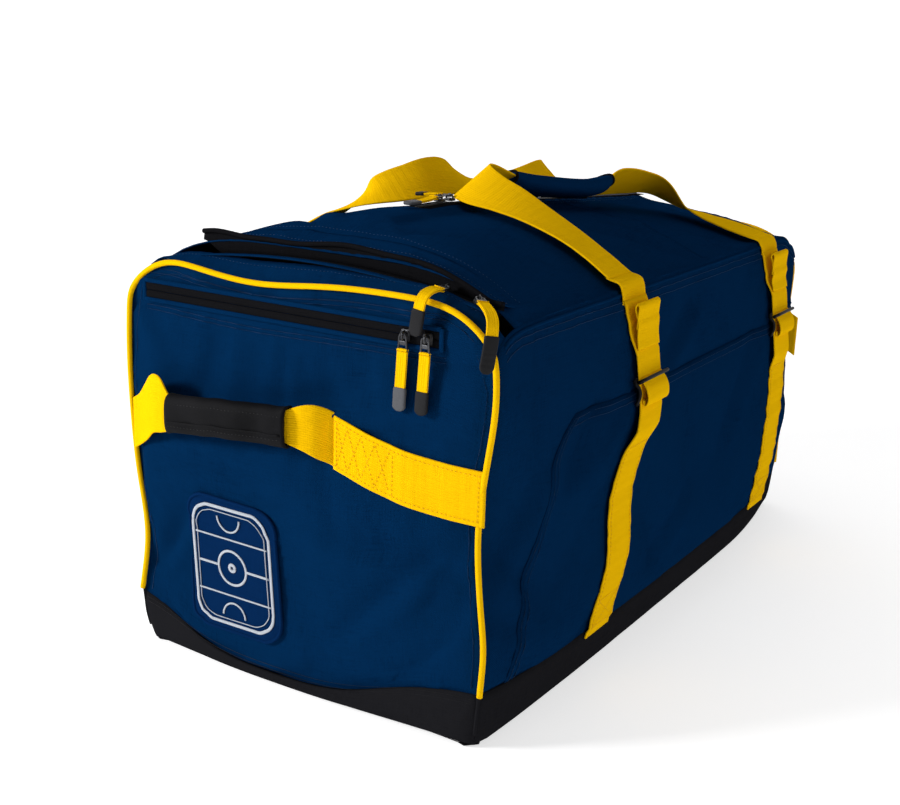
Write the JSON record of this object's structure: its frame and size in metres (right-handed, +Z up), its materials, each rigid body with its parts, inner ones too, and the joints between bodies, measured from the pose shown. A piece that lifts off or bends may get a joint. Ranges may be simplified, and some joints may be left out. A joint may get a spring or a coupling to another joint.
{
  "type": "hockey equipment bag",
  "caption": "Long soft equipment bag with a black base, corded ends, lengthwise and cross zips, carry handles, strap adjusters and end grips.",
  "frame": {"origin": "centre of the bag's footprint on the surface it stands on", "axes": "+Z up, +Y along the bag towards the far end, +X to the right when facing the badge end"},
  "size_m": [0.48, 0.9014, 0.4869],
  "materials": {
    "navy_canvas": "woven polyester canvas, matt",
    "black_base": "coated tarpaulin fabric, satin",
    "liner": "matt sheet",
    "yellow_piping": "corded tape",
    "yellow_webbing": "woven webbing, 50 mm",
    "badge": "embroidered twill patch",
    "zip_tape": "coated zip tape",
    "gunmetal": "dark plated metal",
    "grip_vinyl": "stitched vinyl",
    "black_plastic": "moulded plastic"
  },
  "bodies": {
    "root": {"base_tub": "black_base", "base_board": "liner", "side_panel_right": "navy_canvas", "side_panel_left": "navy_canvas", "side_overlay_right": "navy_canvas", "side_overlay_left": "navy_canvas", "end_panel_near": "navy_canvas", "end_panel_far": "navy_canvas", "top_strip_near": "navy_canvas", "top_panel_near": "navy_canvas", "top_panel_far": "navy_canvas", "piping_near": "yellow_piping", "piping_far": "yellow_piping", "end_pocket_liner": "liner", "skate_divider": "liner", "badge": "badge", "strap_near_right": "yellow_webbing", "strap_near_left": "yellow_webbing", "strap_far_right": "yellow_webbing", "strap_far_left": "yellow_webbing", "end_handle_tab_near": "yellow_webbing", "end_handle_tab_far": "yellow_webbing", "cross_zip": "zip_tape", "cross_zip_flap": "navy_canvas", "end_zip": "zip_tape"},
    "lid_right": {"lid_flap_right": "navy_canvas", "main_zip_tape_right": "zip_tape"},
    "lid_left": {"lid_flap_left": "navy_canvas", "main_zip_tape_left": "zip_tape"},
    "handle_right": {"carry_handle_right": "yellow_webbing", "handle_wrap": "navy_canvas"},
    "handle_left": {"carry_handle_left": "yellow_webbing"},
    "end_handle_near": {"end_handle_web_near": "yellow_webbing", "end_grip_near": "grip_vinyl"},
    "end_handle_far": {"end_handle_web_far": "yellow_webbing", "end_grip_far": "grip_vinyl"},
    "slider_body_end_left": {"slider_end_left": "gunmetal"},
    "pull_end_left": {"puller_end_left": "gunmetal", "pull_tab_end_left": "yellow_webbing"},
    "slider_body_end_right": {"slider_end_right": "gunmetal"},
    "pull_end_right": {"puller_end_right": "gunmetal", "pull_tab_end_right": "yellow_webbing"},
    "slider_body_cross_left": {"slider_cross_left": "gunmetal"},
    "pull_cross_left": {"puller_cross_left": "gunmetal", "pull_tab_cross_left": "yellow_webbing"},
    "slider_body_cross_right": {"slider_cross_right": "gunmetal"},
    "pull_cross_right": {"puller_cross_right": "gunmetal", "pull_tab_cross_right": "yellow_webbing"},
    "slider_body_main_near": {"slider_main_near": "gunmetal"},
    "pull_main_near": {"puller_main_near": "gunmetal", "pull_tab_main_near": "yellow_webbing"},
    "slider_body_main_far": {"slider_main_far": "gunmetal"},
    "pull_main_far": {"puller_main_far": "gunmetal", "pull_tab_main_far": "yellow_webbing"},
    "adjuster_near_right": {"buckle_near_right": "black_plastic"},
    "adjuster_near_left": {"buckle_near_left": "black_plastic"},
    "adjuster_far_right": {"buckle_far_right": "black_plastic"},
    "adjuster_far_left": {"buckle_far_left": "black_plastic"}
  },
  "joints": [
    {"name": "lid_right_hinge", "type": "hinge", "parent": "root", "child": "lid_right", "pos_m": [0.1985, 0, 0.3853], "axis": [0, 1, 0], "range_deg": [0, 75]},
    {"name": "lid_left_hinge", "type": "hinge", "parent": "root", "child": "lid_left", "pos_m": [-0.1985, 0, 0.3853], "axis": [0, -1, 0], "range_deg": [0, 75]},
    {"name": "handle_right_lift", "type": "hinge", "parent": "lid_right", "child": "handle_right", "pos_m": [0.1945, 0, 0.3947], "axis": [0, 1, 0], "range_deg": [0, 85]},
    {"name": "handle_left_lift", "type": "hinge", "parent": "lid_left", "child": "handle_left", "pos_m": [-0.1945, 0, 0.3947], "axis": [0, -1, 0], "range_deg": [0, 85]},
    {"name": "end_handle_near_lift", "type": "hinge", "parent": "root", "child": "end_handle_near", "pos_m": [0, -0.43, 0.262], "axis": [-1, 0, 0], "range_deg": [-30, 20]},
    {"name": "end_handle_far_lift", "type": "hinge", "parent": "root", "child": "end_handle_far", "pos_m": [0, 0.43, 0.262], "axis": [1, 0, 0], "range_deg": [-30, 20]},
    {"name": "end_zip_left_travel", "type": "slide", "parent": "root", "child": "slider_body_end_left", "axis": [1, 0, 0], "range_m": [-0.29, 0]},
    {"name": "end_zip_right_travel", "type": "slide", "parent": "root", "child": "slider_body_end_right", "axis": [1, 0, 0], "range_m": [0, 0.006]},
    {"name": "cross_zip_left_travel", "type": "hinge", "parent": "root", "child": "slider_body_cross_left", "pos_m": [0, -0.381, -0.483], "axis": [0, 1, 0], "range_deg": [-18, 0]},
    {"name": "cross_zip_right_travel", "type": "hinge", "parent": "root", "child": "slider_body_cross_right", "pos_m": [0, -0.381, -0.483], "axis": [0, 1, 0], "range_deg": [0, 0.6]},
    {"name": "main_zip_near_travel", "type": "slide", "parent": "root", "child": "slider_body_main_near", "axis": [0, 1, 0], "range_m": [-0.03, 0]},
    {"name": "main_zip_far_travel", "type": "slide", "parent": "root", "child": "slider_body_main_far", "axis": [0, 0.9978, -0.0659], "range_m": [0, 0.44]},
    {"name": "end_pull_left_swing", "type": "hinge", "parent": "slider_body_end_left", "child": "pull_end_left", "pos_m": [0.121, -0.4169, 0.372], "axis": [-1, 0, 0], "range_deg": [0, 75]},
    {"name": "end_pull_right_swing", "type": "hinge", "parent": "slider_body_end_right", "child": "pull_end_right", "pos_m": [0.1435, -0.4169, 0.372], "axis": [-1, 0, 0], "range_deg": [0, 75]},
    {"name": "cross_pull_left_swing", "type": "hinge", "parent": "slider_body_cross_left", "child": "pull_cross_left", "pos_m": [0.14082, -0.381, 0.41128], "axis": [-0.9878, 0, 0.1556], "range_deg": [0, 90]},
    {"name": "cross_pull_right_swing", "type": "hinge", "parent": "slider_body_cross_right", "child": "pull_cross_right", "pos_m": [0.17301, -0.381, 0.40561], "axis": [-0.6941, -0.7071, 0.1351], "range_deg": [0, 90]},
    {"name": "main_pull_near_swing", "type": "hinge", "parent": "slider_body_main_near", "child": "pull_main_near", "pos_m": [0, -0.1745, 0.4557], "axis": [-1, 0, 0], "range_deg": [0, 110]},
    {"name": "main_pull_far_swing", "type": "hinge", "parent": "slider_body_main_far", "child": "pull_main_far", "pos_m": [0, -0.156, 0.45478], "axis": [0, 1, 0], "range_deg": [0, 90]},
    {"name": "adjuster_near_right_travel", "type": "slide", "parent": "root", "child": "adjuster_near_right", "axis": [-0.1476, 0, 0.989], "range_m": [-0.02, 0.02]},
    {"name": "adjuster_near_left_travel", "type": "slide", "parent": "root", "child": "adjuster_near_left", "axis": [0.1476, 0, 0.989], "range_m": [-0.02, 0.02]},
    {"name": "adjuster_far_right_travel", "type": "slide", "parent": "root", "child": "adjuster_far_right", "axis": [-0.1385, 0, 0.9904], "range_m": [-0.02, 0.02]},
    {"name": "adjuster_far_left_travel", "type": "slide", "parent": "root", "child": "adjuster_far_left", "axis": [0.1385, 0, 0.9904], "range_m": [-0.02, 0.02]}
  ]
}
